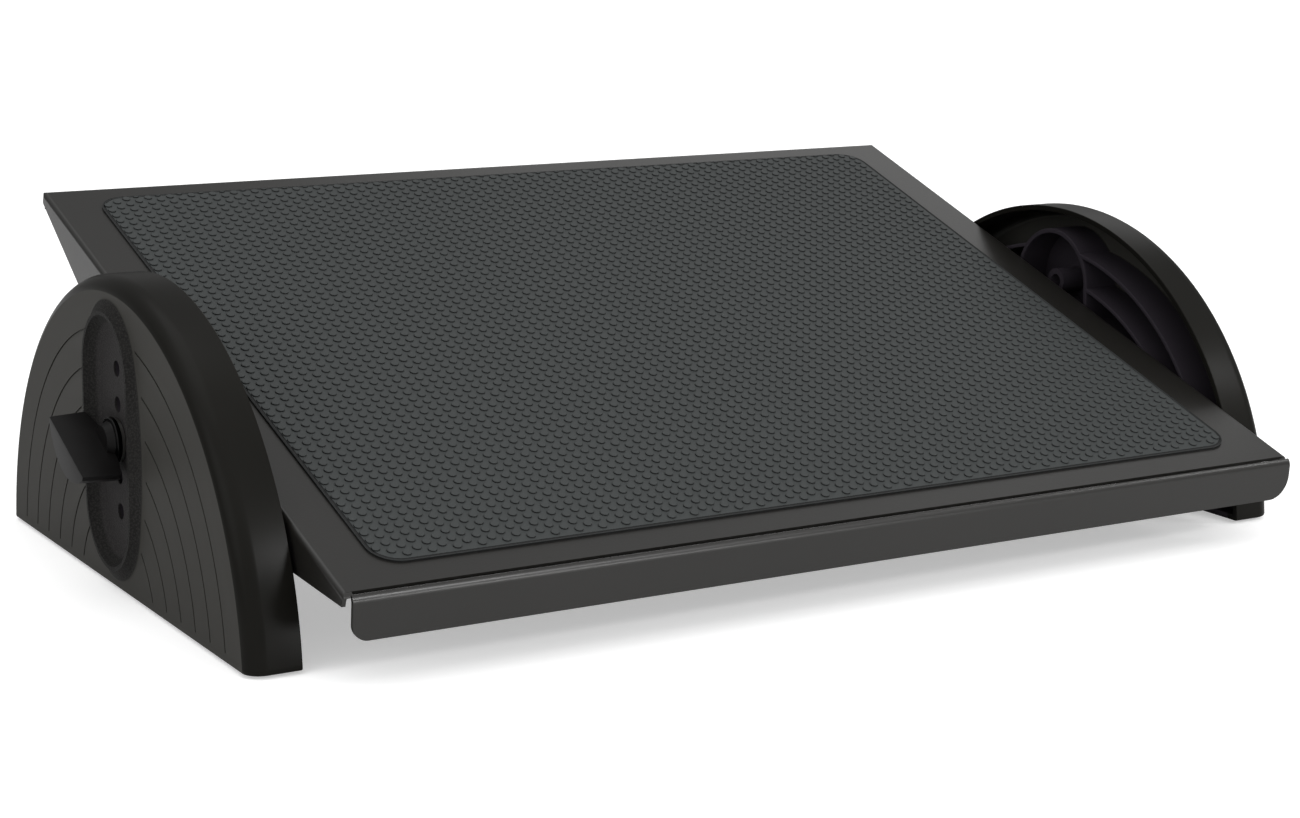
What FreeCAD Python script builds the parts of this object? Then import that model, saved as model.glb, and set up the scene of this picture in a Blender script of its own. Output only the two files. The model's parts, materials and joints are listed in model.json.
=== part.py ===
"""Tilting under desk footrest: two hollow half-round stands carry a folded sheet-metal platform.

The platform tilts about two clamp knob bolts. Each bolt goes through one of five holes in its stand
and screws into a weld nut on the platform's side flange.

Frame: +Z up, +X to the user's right, the user sits at -Y. The origin is on the floor, in the middle
of the whole footrest. All lengths are in millimetres and all angles in degrees.
"""
import FreeCAD, Part
import math
import os
from FreeCAD import Vector

# Platform deck: folded steel sheet, sizes to the outer faces
deck_width = 450.0
deck_depth = 335.4
sheet = 1.5
bend_radius = 4.0
side_bend_radius = 2.0
front_flange = 17.5
front_flange_lean = 14.0
front_left_inset = 3.3
front_left_corner = 6.5
front_right_corner = 10.0
back_flange = 9.0
back_corner = 4.0
side_front_drop = 4.8
side_back_drop = 4.2
side_front_start = 1.2
side_right_relief = 3.0
lug_radius = 20.5
pivot_drop = 29.85
rest_tilt = 18.5

# Grip mat, glued to the deck
mat_side_margin = 20.1
mat_front_margin = 16.1
mat_back_margin = 13.1
mat_corner = 12.0
mat_thickness = 1.5
mat_edge_round = 0.5
adhesive_thickness = 0.2
adhesive_inset = 4.0

# Stands: the outline is an arch struck from a centre below the base
stand_gap = 1.9
stand_thickness = 21.2
arch_radius = 136.3
arch_drop = 10.5
rim_round = 8.0
rim_round_step = 6.0
rim_wall = 2.6
face_wall = 2.5
base_wall = 2.8

# Engraved arches on the outer face and stiffening ribs behind them
arch_count = 6
arch_pitch = 14.5
first_groove_radius = 115.0
groove_width = 0.9
groove_depth = 0.5
groove_floor_gap = 4.0
groove_collar_gap = 1.6
rib_thickness = 1.8
rib_groove_offset = 1.9

# Clamp bolt, on which everything about the pivot is sized
bolt_radius = 3.0
hole_clearance = 0.3

# Index holes, their bosses and the tubular wall round them
hole_count = 5
hole_pitch = 14.5
boss_wall = 2.7
boss_set_back = 2.8
tube_half_width = 26.5
tube_end_margin = 25.6
tube_wall = 2.2

# Pocket on the outer face: a raised collar round a dished floor; the end margins go past the last hole
pocket_height = 60.5
collar_half_width = 35.0
collar_end_margin = 29.0
collar_end_radius = 30.0
collar_rise = 3.2
crest_half_width = 25.8
crest_end_margin = 23.3
crest_width = 1.6
pocket_depth = 2.4
floor_half_width = 16.5
floor_end_margin = 14.5
floor_wall = 2.5

# Anti-slip foot pads
pad_length = 32.0
pad_width = 13.0
pad_thickness = 2.0
pad_recess = 0.8
pad_end_margin = 23.9

# Bolt head, nut, doubler, spacer and washer
bolt_head_flats = 10.0
bolt_head_height = 3.0
bolt_tip_past_nut = 1.0
thread_clearance = 0.05
nut_flats = 10.0
nut_height = 5.0
doubler_thickness = 2.0
doubler_margin = 4.0
spacer_wall = 3.2
seat_gap = 0.3
washer_radius = 8.8
washer_thickness = 1.2

# Knob: a round hub with a wing that is flat on one side, curved on the other and blunt at its edges
hub_radius = 9.8
hub_thickness = 2.2
neck_base_radius = 8.4
neck_top_radius = 6.6
neck_height = 3.0
head_inset = 0.8
wing_tip_chord = 41.6
wing_root_chord = 44.4
wing_edge = 1.6
wing_thickness = 11.9
wing_flat_offset = -0.4
wing_length = 18.4
wing_root_gap = 1.4
wing_root_sag = 3.4
wing_edge_round = 0.9
wing_slope = 24.0

# Worked out from the sizes above
pad_proud = pad_thickness - pad_recess
pivot_height = pad_proud + pocket_height
arch_centre_height = pad_proud - arch_drop
half_depth = deck_depth / 2
half_width = deck_width / 2
stand_inner_edge = half_width + stand_gap
stand_outer_face = stand_inner_edge + stand_thickness
pad_spread = math.sqrt(arch_radius ** 2 - arch_drop ** 2) - pad_end_margin - pad_length / 2
hole_span = (hole_count - 1) * hole_pitch
tube_half_height = hole_span / 2 + tube_end_margin
collar_half_height = hole_span / 2 + collar_end_margin
crest_half_height = hole_span / 2 + crest_end_margin
floor_half_height = hole_span / 2 + floor_end_margin
hole_radius = bolt_radius + hole_clearance
boss_radius = hole_radius + boss_wall
spacer_radius = hole_radius + spacer_wall
doubler_radius = lug_radius - doubler_margin
face_back = stand_outer_face - face_wall
pocket_floor = stand_outer_face - pocket_depth
floor_back = pocket_floor - floor_wall
boss_end = stand_inner_edge + boss_set_back
washer_seat = pocket_floor + seat_gap
hub_base = washer_seat + washer_thickness + seat_gap
hub_top = hub_base + hub_thickness
wing_root = hub_base + wing_root_gap
wing_reach = wing_root + wing_length
flange_inner = half_width - sheet
nut_seat = flange_inner - doubler_thickness
bolt_tip = nut_seat - nut_height - bolt_tip_past_nut
mat_top = pivot_drop + adhesive_thickness + mat_thickness
overlap = 0.5
beyond = 50.0

tilt = math.radians(rest_tilt)
front_bend_run = bend_radius * math.tan(math.radians(90 - front_flange_lean) / 2)
front_reach = ((front_bend_run - half_depth) * math.cos(tilt)
               - (pivot_drop - bend_radius) * math.sin(tilt) - bend_radius)
back_reach = half_depth * math.cos(tilt) - (pivot_drop - back_flange) * math.sin(tilt)
stand_y = -(front_reach + back_reach) / 2


def line(start, end):
    return Part.LineSegment(start, end).toShape()


def polygon_face(points):
    return Part.Face(Part.makePolygon(points + [points[0]]))


def cylinder_x(radius, x_start, x_end, y=0.0, z=0.0):
    """A cylinder along X, given by where it starts and ends."""
    return Part.makeCylinder(radius, x_end - x_start, Vector(x_start, y, z), Vector(1, 0, 0))


def hexagon_x(flats, x_start, x_end):
    """A hexagonal prism along the pivot's axis."""
    corner = flats / math.sqrt(3)
    points = []
    for step in range(6):
        turn = math.radians(60 * step)
        points.append(Vector(x_start, corner * math.sin(turn), corner * math.cos(turn)))
    return polygon_face(points).extrude(Vector(x_end - x_start, 0, 0))


def block(x_range, y_range, z_range):
    """A box given by its limits along X, Y and Z."""
    return Part.makeBox(x_range[1] - x_range[0], y_range[1] - y_range[0], z_range[1] - z_range[0],
                        Vector(x_range[0], y_range[0], z_range[0]))


def oval_wire(x, half_width_y, half_height_z, end_radius):
    """A four-arc oval in the plane at x, taller than wide, centred on the pocket."""
    a, b, r = half_width_y, half_height_z, end_radius
    side_radius = (a * a + b * b - 2 * b * r) / (2 * (a - r))
    side_centre = side_radius - a
    lean = math.atan2(b - r, side_centre)
    join_y = side_radius * math.cos(lean) - side_centre
    join_z = side_radius * math.sin(lean)

    def at(y, z):
        return Vector(x, stand_y + y, pivot_height + z)

    arcs = [Part.Arc(at(-join_y, join_z), at(0, b), at(join_y, join_z)),
            Part.Arc(at(join_y, join_z), at(a, 0), at(join_y, -join_z)),
            Part.Arc(at(join_y, -join_z), at(0, -b), at(-join_y, -join_z)),
            Part.Arc(at(-join_y, -join_z), at(-a, 0), at(-join_y, join_z))]
    return Part.Wire([arc.toShape() for arc in arcs])


def slot_oval(x, half_width_y, half_height_z):
    """An oval whose ends are almost half circles."""
    return oval_wire(x, half_width_y, half_height_z, 0.98 * half_width_y)


def oval_prism(half_width_y, half_height_z, x_start, x_end):
    wire = slot_oval(x_start, half_width_y, half_height_z)
    return Part.Face(wire).extrude(Vector(x_end - x_start, 0, 0))


def turned_about_arch_axis(points_and_arcs):
    """A solid of revolution about the arch axis; heights in the section are radii."""
    face = Part.Face(Part.Wire(points_and_arcs))
    face.translate(Vector(0, stand_y, arch_centre_height))
    return face.revolve(Vector(0, stand_y, arch_centre_height), Vector(1, 0, 0), 360)


def arch_section(x_start, x_face, outer_radius, round_radius):
    """Half section of the arch body; an arc rounds its outer corner and meets the face in a crease."""
    centre_r = arch_radius - rim_round
    face_run = math.sqrt(rim_round ** 2 - (rim_round - rim_round_step) ** 2)
    centre_x = stand_outer_face - face_run
    face_r = centre_r + math.sqrt(round_radius ** 2 - (x_face - centre_x) ** 2)
    middle = (math.pi / 2 + math.atan2(face_r - centre_r, x_face - centre_x)) / 2
    corner = [Vector(x_start, 0, 0), Vector(x_start, 0, outer_radius), Vector(centre_x, 0, outer_radius),
              Vector(x_face, 0, face_r), Vector(x_face, 0, 0)]
    bulge = Vector(centre_x + round_radius * math.cos(middle), 0,
                   centre_r + round_radius * math.sin(middle))
    return [line(corner[0], corner[1]), line(corner[1], corner[2]),
            Part.Arc(corner[2], bulge, corner[3]).toShape(),
            line(corner[3], corner[4]), line(corner[4], corner[0])]


def arch_ring(radius, thickness, x_start, x_end):
    """A thin ring struck from the arch centre, between radius - thickness and radius."""
    ring = cylinder_x(radius, x_start, x_end, stand_y, arch_centre_height)
    return ring.cut(cylinder_x(radius - thickness, x_start, x_end, stand_y, arch_centre_height))


def above(height):
    """Everything above a height, as a block as large as a stand."""
    return block((stand_inner_edge - beyond, wing_reach),
                 (stand_y - arch_radius - 1, stand_y + arch_radius + 1),
                 (height, height + 2 * arch_radius))


def stand_shell():
    """Face, rim and base wall, open on the inner side."""
    body = turned_about_arch_axis(
        arch_section(stand_inner_edge, stand_outer_face, arch_radius, rim_round)).common(above(pad_proud))
    hollow = turned_about_arch_axis(
        arch_section(stand_inner_edge - overlap, face_back, arch_radius - rim_wall, rim_round - rim_wall))
    return body.cut(hollow.common(above(pad_proud + base_wall)))


def stand_ribs():
    """Concentric arch ribs inside the shell, stopped by the tubular wall."""
    inside = above(pad_proud + base_wall / 2)
    tube_body = oval_prism(tube_half_width - tube_wall / 2, tube_half_height - tube_wall / 2,
                           stand_inner_edge - 1, stand_outer_face)
    ribs = []
    for index in range(arch_count):
        radius = first_groove_radius - index * arch_pitch + rib_groove_offset + rib_thickness / 2
        rib = arch_ring(radius, rib_thickness, stand_inner_edge, face_back + overlap)
        ribs.append(rib.common(inside).cut(tube_body))
    return ribs


def stand_tube():
    """Tubular wall that stands round the five holes, flush with the open edge."""
    outer = oval_prism(tube_half_width, tube_half_height, stand_inner_edge, face_back + overlap)
    inner = oval_prism(tube_half_width - tube_wall, tube_half_height - tube_wall,
                       stand_inner_edge - 1, stand_outer_face)
    return outer.cut(inner)


def hole_heights():
    return [pivot_height - hole_span / 2 + index * hole_pitch for index in range(hole_count)]


def stand_collar():
    """Raised collar of the pocket on the outer face, with the pocket's floor behind it."""
    foot = oval_wire(stand_outer_face, collar_half_width, collar_half_height, collar_end_radius)
    crest = slot_oval(stand_outer_face + collar_rise, crest_half_width, crest_half_height)
    slope = Part.makeLoft([foot, crest], True, True)
    floor = oval_prism(tube_half_width - tube_wall / 2, tube_half_height - tube_wall / 2,
                       floor_back, stand_outer_face)
    return [slope, floor]


def pocket_hollow():
    """The dish inside the collar."""
    mouth_x = stand_outer_face + collar_rise
    mouth = slot_oval(mouth_x, crest_half_width - crest_width, crest_half_height - crest_width)
    bottom = slot_oval(pocket_floor, floor_half_width, floor_half_height)
    dish = Part.makeLoft([bottom, mouth], True, True)
    return dish.fuse(Part.Face(mouth).extrude(Vector(beyond, 0, 0)))


def face_grooves():
    """Engraved arches, broken by the collar and ending just above the base."""
    ring_start = stand_outer_face - groove_depth
    kept_off = oval_wire(ring_start - 1, collar_half_width + groove_collar_gap,
                         collar_half_height + groove_collar_gap, collar_end_radius)
    kept_off = Part.Face(kept_off).extrude(Vector(groove_depth + 2, 0, 0))
    grooves = []
    for index in range(arch_count):
        radius = first_groove_radius - index * arch_pitch + groove_width / 2
        ring = arch_ring(radius, groove_width, ring_start, stand_outer_face + 1)
        grooves.append(ring.common(above(pad_proud + groove_floor_gap)).cut(kept_off))
    return grooves


def pad_centres():
    return [("front", stand_y - pad_spread), ("rear", stand_y + pad_spread)]


def pad_block(y_centre, bottom, top):
    x_middle = (stand_inner_edge + stand_outer_face) / 2
    return block((x_middle - pad_width / 2, x_middle + pad_width / 2),
                 (y_centre - pad_length / 2, y_centre + pad_length / 2), (bottom, top))


def stand():
    """The right stand as one moulding."""
    body = stand_shell()
    pieces = stand_ribs() + [stand_tube()] + stand_collar()
    for height in hole_heights():
        pieces.append(cylinder_x(boss_radius, boss_end, floor_back + overlap, stand_y, height))
    body = body.fuse(pieces)
    cuts = [pocket_hollow()] + face_grooves()
    for height in hole_heights():
        cuts.append(cylinder_x(hole_radius, stand_inner_edge - 1, wing_reach, stand_y, height))
    for _, y_centre in pad_centres():
        cuts.append(pad_block(y_centre, pad_proud - 1, pad_proud + pad_recess))
    return body.cut(cuts).removeSplitter()


def foot_pad(y_centre):
    """Anti-slip pad with rounded corners, seated in its recess under the stand."""
    pad = pad_block(y_centre, 0, pad_thickness)
    upright = [edge for edge in pad.Edges if abs(edge.tangentAt(edge.FirstParameter).z) > 0.9]
    return pad.makeFillet(pad_width / 4, upright)


def rounded_path(points, radius):
    """Lines through the points with each inner corner rounded by the radius."""
    edges = []
    start = points[0]
    for before, corner, after in zip(points, points[1:], points[2:]):
        back = (before - corner).normalize()
        ahead = (after - corner).normalize()
        half_angle = back.getAngle(ahead) / 2
        run = radius / math.tan(half_angle)
        centre_way = (back + ahead).normalize()
        bulge = corner + centre_way * (radius / math.sin(half_angle) - radius)
        edges.append(line(start, corner + back * run))
        edges.append(Part.Arc(corner + back * run, bulge, corner + ahead * run).toShape())
        start = corner + ahead * run
    edges.append(line(start, points[-1]))
    return edges


def offset_path(points, distance, out_of_plane):
    """The same bent line, moved sideways by a distance."""
    ways = [(end - start).normalize() for start, end in zip(points, points[1:])]
    sides = [way.cross(out_of_plane) * distance for way in ways]
    moved = [points[0] + sides[0]]
    for corner, side_a, side_b, way_a, way_b in zip(points[1:], sides, sides[1:], ways, ways[1:]):
        half_turn = way_a.getAngle(way_b) / 2
        moved.append(corner + (side_a + side_b).normalize() * (distance / math.cos(half_turn)))
    moved.append(points[-1] + sides[-1])
    return moved


def folded_section(points, radius, out_of_plane):
    """Section of a folded sheet whose outer face runs through the points, bent to the radius."""
    inner = offset_path(points, sheet, out_of_plane)
    outline = rounded_path(points, radius) + [line(points[-1], inner[-1])]
    outline += rounded_path(inner, radius - sheet) + [line(inner[0], points[0])]
    return Part.Face(Part.Wire(Part.__sortEdges__(outline)))


def rounded_corners(solid, radius, chosen):
    """Fillets the edges that pass the test."""
    return solid.makeFillet(radius, [edge for edge in solid.Edges if chosen(edge)])


def front_flange_points():
    lean = math.radians(front_flange_lean)
    crease = Vector(0, -half_depth, pivot_drop)
    return [crease + Vector(0, -math.sin(lean), -math.cos(lean)) * front_flange, crease]


def front_and_back_strip():
    """Top sheet between the side bends, with the front flange and the back flange."""
    side_limit = half_width - side_bend_radius
    back = [Vector(0, front_bend_run - half_depth, pivot_drop), Vector(0, half_depth, pivot_drop),
            Vector(0, half_depth, pivot_drop - back_flange)]
    middle = folded_section(back, bend_radius, Vector(1, 0, 0)).extrude(Vector(2 * side_limit, 0, 0))
    middle.translate(Vector(-side_limit, 0, 0))

    behind_crease = Vector(0, 2 * bend_radius - half_depth, pivot_drop)
    lip = folded_section(front_flange_points() + [behind_crease], bend_radius, Vector(1, 0, 0))
    lip_limit = block((front_left_inset - half_width, half_width),
                      (-deck_depth, side_right_relief - sheet - half_depth), (-beyond, beyond))
    lip = lip.extrude(Vector(deck_width, 0, 0))
    lip.translate(Vector(-half_width, 0, 0))
    return middle.fuse(lip.common(lip_limit))


def tangent_point(corner, toward):
    """Where a line from the corner touches the lug's circle, on the side given by toward."""
    distance = math.hypot(corner[0], corner[1])
    bearing = math.atan2(corner[1], corner[0])
    spread = math.acos(lug_radius / distance)
    angle = bearing + toward * spread
    return lug_radius * math.cos(angle), lug_radius * math.sin(angle)


def side_outline(front_start):
    """Side view of a side flange: shallow at both ends, deepening to a round lug at the pivot."""
    front = (front_start - half_depth, pivot_drop - side_front_drop)
    back = (half_depth - side_front_start, pivot_drop - side_back_drop)
    touch_front = tangent_point(front, 1)
    touch_back = tangent_point(back, -1)

    def at(y, z):
        return Vector(0, y, z)

    top = pivot_drop + 1
    edges = [line(at(front[0], top), at(*front)), line(at(*front), at(*touch_front)),
             Part.Arc(at(*touch_front), at(0, -lug_radius), at(*touch_back)).toShape(),
             line(at(*touch_back), at(*back)), line(at(*back), at(back[0], top)),
             line(at(back[0], top), at(front[0], top))]
    return Part.Face(Part.Wire(edges))


def crown():
    """The space below the deck's top, rounded along X like the front and back bends."""
    space = block((-half_width, half_width), (-half_depth, half_depth), (-beyond, pivot_drop))
    along = [edge for edge in space.Edges
             if abs(edge.tangentAt(edge.FirstParameter).x) > 0.9 and edge.CenterOfMass.z > 0]
    return space.makeFillet(bend_radius, along)


def side_flange(front_start):
    """One side flange with its bend, on the right."""
    depth = pivot_drop + lug_radius + 1
    points = [Vector(half_width, 0, pivot_drop - depth), Vector(half_width, 0, pivot_drop),
              Vector(half_width - 2 * side_bend_radius, 0, pivot_drop)]
    strip = folded_section(points, side_bend_radius, Vector(0, 1, 0)).extrude(Vector(0, deck_depth, 0))
    strip.translate(Vector(0, -half_depth, 0))
    outline = side_outline(front_start).extrude(Vector(beyond, 0, 0))
    outline.translate(Vector(half_width - beyond / 2, 0, 0))
    flange = strip.common(outline).common(crown())
    return flange.cut(cylinder_x(hole_radius, half_width - beyond / 2, half_width + 1))


def mirrored(shape):
    return shape.mirror(Vector(0, 0, 0), Vector(1, 0, 0))


def deck_plan():
    """The deck's outline seen from above, as a tall block with its back corners rounded."""
    plan = block((-half_width, half_width), (-deck_depth, half_depth), (-beyond, beyond))
    corners = [edge for edge in plan.Edges
               if abs(edge.tangentAt(edge.FirstParameter).z) > 0.9 and edge.CenterOfMass.y > 0]
    return plan.makeFillet(back_corner, corners)


def platform_deck():
    """The folded deck in its own frame: the pivot is the origin and the sheet lies flat."""
    right = side_flange(side_right_relief)
    left = mirrored(side_flange(side_front_start))
    deck = front_and_back_strip().fuse([right, left]).removeSplitter().common(deck_plan())

    def flange_corner(edge, x, low):
        middle = edge.CenterOfMass
        along = edge.tangentAt(edge.FirstParameter)
        return abs(middle.x - x) < 0.1 and abs(along.x) < 0.01 and middle.z < low and edge.Length < 2 * sheet

    low = pivot_drop - front_flange * 0.8
    deck = rounded_corners(deck, front_left_corner,
                           lambda edge: flange_corner(edge, front_left_inset - half_width, low)
                           and edge.CenterOfMass.y < 1 - half_depth)
    deck = rounded_corners(deck, front_right_corner,
                           lambda edge: flange_corner(edge, half_width, low)
                           and edge.CenterOfMass.y < 1 - half_depth)
    return deck


def mat_outline(inset, bottom, thickness):
    """A plate with rounded corners over the mat's area."""
    front = mat_front_margin - half_depth + inset
    back = half_depth - mat_back_margin - inset
    side = half_width - mat_side_margin - inset
    plate = block((-side, side), (front, back), (bottom, bottom + thickness))
    upright = [edge for edge in plate.Edges if abs(edge.tangentAt(edge.FirstParameter).z) > 0.9]
    return plate.makeFillet(mat_corner - inset, upright)


def mat_adhesive():
    return mat_outline(adhesive_inset, pivot_drop, adhesive_thickness)


def grip_mat():
    """The mat's body; it is hollowed below for the adhesive sheet, and its rim meets the deck."""
    mat = mat_outline(0, pivot_drop, adhesive_thickness + mat_thickness)
    upper = [edge for edge in mat.Edges if edge.CenterOfMass.z > mat_top - 0.01]
    mat = mat.makeFillet(mat_edge_round, upper)
    return mat.cut(mat_adhesive())


def doubler():
    """Round plate spot-welded inside the side flange."""
    disc = cylinder_x(doubler_radius, nut_seat, flange_inner)
    return disc.cut(cylinder_x(hole_radius, nut_seat - 1, flange_inner + 1))


def weld_nut():
    nut = hexagon_x(nut_flats, nut_seat - nut_height, nut_seat)
    return nut.cut(cylinder_x(bolt_radius + thread_clearance, bolt_tip - 1, nut_seat + 1))


def pivot_spacer():
    """Tube between the side flange and the stand's hole boss."""
    tube = cylinder_x(spacer_radius, half_width, boss_end - seat_gap)
    return tube.cut(cylinder_x(hole_radius, half_width - 1, boss_end))


def knob_washer():
    washer = cylinder_x(washer_radius, washer_seat, washer_seat + washer_thickness)
    return washer.cut(cylinder_x(hole_radius, washer_seat - 1, hub_top))


def knob_bolt():
    """Hexagon bolt moulded into the knob; its shank is the pivot."""
    head_base = hub_base + head_inset
    head = hexagon_x(bolt_head_flats, head_base, head_base + bolt_head_height)
    return head.fuse(cylinder_x(bolt_radius, bolt_tip, head_base)).removeSplitter()


def wing_section(x, chord):
    """Outline of the wing at x: flat above, blunt at both edges and an arc below."""
    half_chord = chord / 2
    flat = wing_flat_offset
    blunt = flat - wing_edge
    edges = [line(Vector(x, half_chord, flat), Vector(x, -half_chord, flat)),
             line(Vector(x, -half_chord, flat), Vector(x, -half_chord, blunt)),
             Part.Arc(Vector(x, -half_chord, blunt), Vector(x, 0, flat - wing_thickness),
                      Vector(x, half_chord, blunt)).toShape(),
             line(Vector(x, half_chord, blunt), Vector(x, half_chord, flat))]
    return Part.Wire(edges)


def wing():
    """The knob's wing: narrower at its tip, its inner end curved round the hub."""
    sections = [wing_section(wing_root - 1, wing_root_chord), wing_section(wing_reach, wing_tip_chord)]
    body = Part.makeLoft(sections, True, True)
    edge_y = wing_root_chord / 2 + 1
    root_x = wing_root + wing_root_sag
    outline = [line(Vector(root_x, -edge_y, 0), Vector(wing_reach, -edge_y, 0)),
               line(Vector(wing_reach, -edge_y, 0), Vector(wing_reach, edge_y, 0)),
               line(Vector(wing_reach, edge_y, 0), Vector(root_x, edge_y, 0)),
               Part.Arc(Vector(root_x, edge_y, 0), Vector(wing_root, 0, 0),
                        Vector(root_x, -edge_y, 0)).toShape()]
    plan = Part.Face(Part.Wire(outline)).extrude(Vector(0, 0, 2 * beyond))
    plan.translate(Vector(0, 0, -beyond))
    body = body.common(plan)
    tip_edges = [edge for edge in body.Edges if edge.CenterOfMass.x > wing_reach - 0.01]
    return body.makeFillet(wing_edge_round, tip_edges)


def knob_grip():
    """Hub, neck and wing in one moulding, with the seat of the bolt's head left out."""
    hub = cylinder_x(hub_radius, hub_base, hub_top)
    neck = Part.makeCone(neck_base_radius, neck_top_radius, neck_height,
                         Vector(hub_top, 0, 0), Vector(1, 0, 0))
    sloped_wing = wing()
    sloped_wing.rotate(Vector(0, 0, 0), Vector(1, 0, 0), wing_slope)
    grip = hub.fuse([neck, sloped_wing]).removeSplitter()
    return grip.cut(knob_bolt())


def tilted(shape):
    """Takes a shape from the platform's own frame to its place at the rest tilt."""
    shape = shape.copy()
    shape.rotate(Vector(0, 0, 0), Vector(1, 0, 0), rest_tilt)
    return at_pivot(shape)


def at_pivot(shape):
    """Moves a shape that was made about the X axis onto the pivot axis."""
    shape = shape.copy()
    shape.translate(Vector(0, stand_y, pivot_height))
    return shape


def write_node(name, shape):
    solids = shape.Solids
    print(name, "solids", len(solids), "volume", round(shape.Volume, 1), "valid", shape.isValid())
    body = solids[0] if len(solids) == 1 else shape
    body.exportStep("parts/" + name + ".step")


def write_pair(name, shape):
    """Writes a piece made for the right side, and its mirror image for the left side."""
    write_node("right_" + name, shape)
    write_node("left_" + name, mirrored(shape))


def main():
    os.makedirs("parts", exist_ok=True)
    write_pair("stand", stand())
    for place, y_centre in pad_centres():
        write_pair(place + "_foot_pad", foot_pad(y_centre))
    write_node("platform_deck", tilted(platform_deck()))
    write_node("mat_adhesive", tilted(mat_adhesive()))
    write_node("grip_mat", tilted(grip_mat()))
    write_pair("doubler", tilted(doubler()))
    write_pair("weld_nut", tilted(weld_nut()))
    write_pair("pivot_spacer", at_pivot(pivot_spacer()))
    write_pair("knob_washer", at_pivot(knob_washer()))
    write_pair("knob_bolt", at_pivot(knob_bolt()))
    write_pair("knob_grip", at_pivot(knob_grip()))


main()
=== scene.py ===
"""Looks of the tilting under desk footrest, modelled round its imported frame.

Two moulded half-round stands hold a folded, powder coated platform with a studded rubber mat, and a
clamp knob at each side lets it tilt. All lengths are in metres, in the frame's own axes: +Z up, +X to
the user's right, and the user sits at -Y.
"""

import json
import logging
import math
from dataclasses import dataclass, field
from enum import Enum
from typing import Callable

import bmesh
import bpy
from mathutils import Matrix, Vector

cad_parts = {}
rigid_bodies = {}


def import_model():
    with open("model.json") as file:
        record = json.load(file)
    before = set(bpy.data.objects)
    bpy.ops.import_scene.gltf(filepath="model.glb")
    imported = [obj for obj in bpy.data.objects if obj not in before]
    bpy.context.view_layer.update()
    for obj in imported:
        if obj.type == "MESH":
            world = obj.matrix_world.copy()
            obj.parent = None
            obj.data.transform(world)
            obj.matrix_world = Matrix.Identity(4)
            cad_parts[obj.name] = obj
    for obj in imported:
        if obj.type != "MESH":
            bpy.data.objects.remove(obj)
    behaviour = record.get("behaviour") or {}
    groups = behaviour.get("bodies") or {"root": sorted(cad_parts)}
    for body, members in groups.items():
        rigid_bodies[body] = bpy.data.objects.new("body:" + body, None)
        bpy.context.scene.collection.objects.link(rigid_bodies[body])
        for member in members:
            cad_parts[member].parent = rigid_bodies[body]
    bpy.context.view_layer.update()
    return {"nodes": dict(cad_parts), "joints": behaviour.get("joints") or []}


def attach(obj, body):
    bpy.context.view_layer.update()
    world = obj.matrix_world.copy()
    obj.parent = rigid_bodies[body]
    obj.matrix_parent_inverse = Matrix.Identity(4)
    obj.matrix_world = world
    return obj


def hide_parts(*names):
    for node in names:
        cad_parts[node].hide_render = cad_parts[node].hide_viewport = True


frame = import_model()

log = logging.getLogger("footrest")

MM = 0.001
PAST = 1.0 * MM  # how far a cutter stands out of what it cuts
NEAR = 0.1 * MM  # how near to a face an edge counts as lying in it
HINGE = next(joint for joint in frame["joints"] if joint["name"] == "platform_tilt")
PIVOT = Vector(HINGE["pos_m"])
REST_TILT = math.radians(18.5)
SMOOTH_ANGLE = math.radians(13.0)
ALONG_X = (0.0, math.pi / 2, 0.0)  # turns a primitive's axis from Z to X
SLOT_END = 0.98  # end radius of a slot-like oval, as a share of its half width

Point = tuple[float, float, float]
Colour = tuple[float, float, float, float]
WHITE: Colour = (1.0, 1.0, 1.0, 1.0)


class Side(Enum):
    """The two sides of the footrest, as the sign of X."""

    LEFT = -1
    RIGHT = 1

    @property
    def word(self) -> str:
        """The side's name, as the frame's nodes spell it."""
        return self.name.lower()


class Joinery(Enum):
    """How one solid is combined with another."""

    ADD = "UNION"
    CUT = "DIFFERENCE"
    KEEP_SHARED = "INTERSECT"


class Pick(Enum):
    """What kind of element is selected in edit mode."""

    EDGE = "EDGE"
    FACE = "FACE"


def tone(*screen: int) -> Colour:
    """Turns a colour as it looks on screen, three shares of 255, into a linear one."""
    shares = (value / 255 for value in screen)
    return (*(share / 12.92 if share <= 0.04045 else ((share + 0.055) / 1.055) ** 2.4 for share in shares), 1.0)


def part_way(start: float, end: float, share: float) -> float:
    """The value at a share of the way from start to end."""
    return start + (end - start) * share


ZINC = (tone(165, 165, 160), tone(120, 120, 118))


# Shader maths


def math_method(operation: str, turned: bool = False) -> Callable[..., "Channel"]:
    """Makes one of Channel's methods out of a Math node.

    Args:
        operation: The Math node's operation.
        turned: True puts the other value first.

    Returns:
        The method.
    """
    def method(this: "Channel", other: object = None) -> "Channel":
        """Adds the node and returns its result."""
        pair = (other, this) if turned else (this, other)
        values = {place: value for place, value in enumerate(pair) if value is not None}
        return this.tree.output("ShaderNodeMath", {"operation": operation}, values)

    return method


class Channel:
    """A shader socket that takes Python's arithmetic."""

    def __init__(self, tree: "ShaderTree", socket: bpy.types.NodeSocket) -> None:
        """Wraps one output socket of a tree."""
        self.tree = tree
        self.socket = socket

    __add__ = __radd__ = math_method("ADD")
    __sub__ = math_method("SUBTRACT")
    __rsub__ = math_method("SUBTRACT", turned=True)
    __mul__ = __rmul__ = math_method("MULTIPLY")
    __pow__ = math_method("POWER")
    __abs__ = math_method("ABSOLUTE")
    at_least = math_method("MAXIMUM")

    def step(self, low: float, high: float) -> "Channel":
        """A soft step from 0 at low to 1 at high."""
        return self.tree.output("ShaderNodeMapRange", {"interpolation_type": "SMOOTHSTEP", "clamp": True},
                                {0: self, 1: low, 2: high, 3: 0.0, 4: 1.0})


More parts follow.
